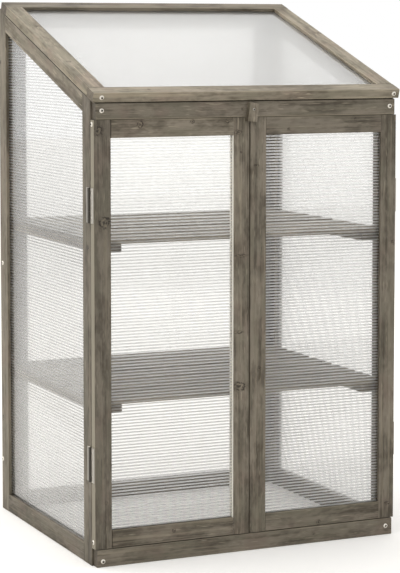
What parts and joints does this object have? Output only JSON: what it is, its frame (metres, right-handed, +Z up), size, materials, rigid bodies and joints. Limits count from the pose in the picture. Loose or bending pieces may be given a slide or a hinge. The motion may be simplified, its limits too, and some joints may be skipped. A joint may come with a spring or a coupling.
{
  "type": "mini greenhouse",
  "caption": "Timber-framed mini greenhouse with twin-wall glazing, a pair of hinged doors, a hinged sloping lid, slatted shelves and a wooden turn button.",
  "frame": {"origin": "on the ground, at the middle of the footprint of the closed greenhouse", "axes": "+X to the right of someone facing the doors, +Y from the doors to the back, +Z up"},
  "size_m": [0.6726, 0.5688, 1.0977],
  "materials": {
    "timber": "grey-brown stain on planed fir, matt",
    "twin_wall_sheet": "clear twin-wall polycarbonate with horizontal flutes",
    "zinc_plate": "bright zinc plate"
  },
  "bodies": {
    "body": {"left_side_front_post": "timber", "left_side_rear_post": "timber", "left_side_bottom_rail": "timber", "left_side_top_rail": "timber", "left_side_sheet": "twin_wall_sheet", "right_side_front_post": "timber", "right_side_rear_post": "timber", "right_side_bottom_rail": "timber", "right_side_top_rail": "timber", "right_side_sheet": "twin_wall_sheet", "rear_left_stile": "timber", "rear_right_stile": "timber", "rear_bottom_rail": "timber", "rear_top_rail": "timber", "rear_sheet": "twin_wall_sheet", "front_top_rail": "timber", "front_bottom_rail": "timber", "left_door_lower_hinge_frame_leaf": "zinc_plate", "left_door_upper_hinge_frame_leaf": "zinc_plate", "right_door_lower_hinge_frame_leaf": "zinc_plate", "right_door_upper_hinge_frame_leaf": "zinc_plate", "lid_left_hinge_frame_leaf": "zinc_plate", "lid_right_hinge_frame_leaf": "zinc_plate", "lower_shelf_left_cleat": "timber", "lower_shelf_right_cleat": "timber", "lower_shelf_slat_1": "timber", "lower_shelf_slat_2": "timber", "lower_shelf_slat_3": "timber", "lower_shelf_slat_4": "timber", "lower_shelf_slat_5": "timber", "upper_shelf_left_cleat": "timber", "upper_shelf_right_cleat": "timber", "upper_shelf_slat_1": "timber", "upper_shelf_slat_2": "timber", "upper_shelf_slat_3": "timber", "upper_shelf_slat_4": "timber", "upper_shelf_slat_5": "timber", "turn_button_screw": "zinc_plate"},
    "left_door": {"left_door_left_stile": "timber", "left_door_right_stile": "timber", "left_door_bottom_rail": "timber", "left_door_top_rail": "timber", "left_door_sheet": "twin_wall_sheet", "left_door_lower_hinge_door_leaf": "zinc_plate", "left_door_upper_hinge_door_leaf": "zinc_plate"},
    "right_door": {"right_door_left_stile": "timber", "right_door_right_stile": "timber", "right_door_bottom_rail": "timber", "right_door_top_rail": "timber", "right_door_sheet": "twin_wall_sheet", "right_door_lower_hinge_door_leaf": "zinc_plate", "right_door_upper_hinge_door_leaf": "zinc_plate"},
    "lid": {"lid_left_stile": "timber", "lid_right_stile": "timber", "lid_front_rail": "timber", "lid_rear_rail": "timber", "lid_sheet": "twin_wall_sheet", "lid_left_hinge_lid_leaf": "zinc_plate", "lid_right_hinge_lid_leaf": "zinc_plate"},
    "turn_button": {"turn_button": "timber"}
  },
  "joints": [
    {"name": "left_door_hinge", "type": "hinge", "parent": "body", "child": "left_door", "pos_m": [-0.3333, -0.2511, 0.451], "axis": [0, 0, -1], "range_deg": [0, 175]},
    {"name": "right_door_hinge", "type": "hinge", "parent": "body", "child": "right_door", "pos_m": [0.3333, -0.2511, 0.451], "axis": [0, 0, 1], "range_deg": [0, 175]},
    {"name": "lid_hinge", "type": "hinge", "parent": "body", "child": "lid", "pos_m": [0, 0.2652, 1.08102], "axis": [-1, 0, 0], "range_deg": [0, 85]},
    {"name": "turn_button_pivot", "type": "hinge", "parent": "body", "child": "turn_button", "pos_m": [0.003, -0.2759, 0.882], "axis": [0, 1, 0], "range_deg": [-90, 90]}
  ]
}
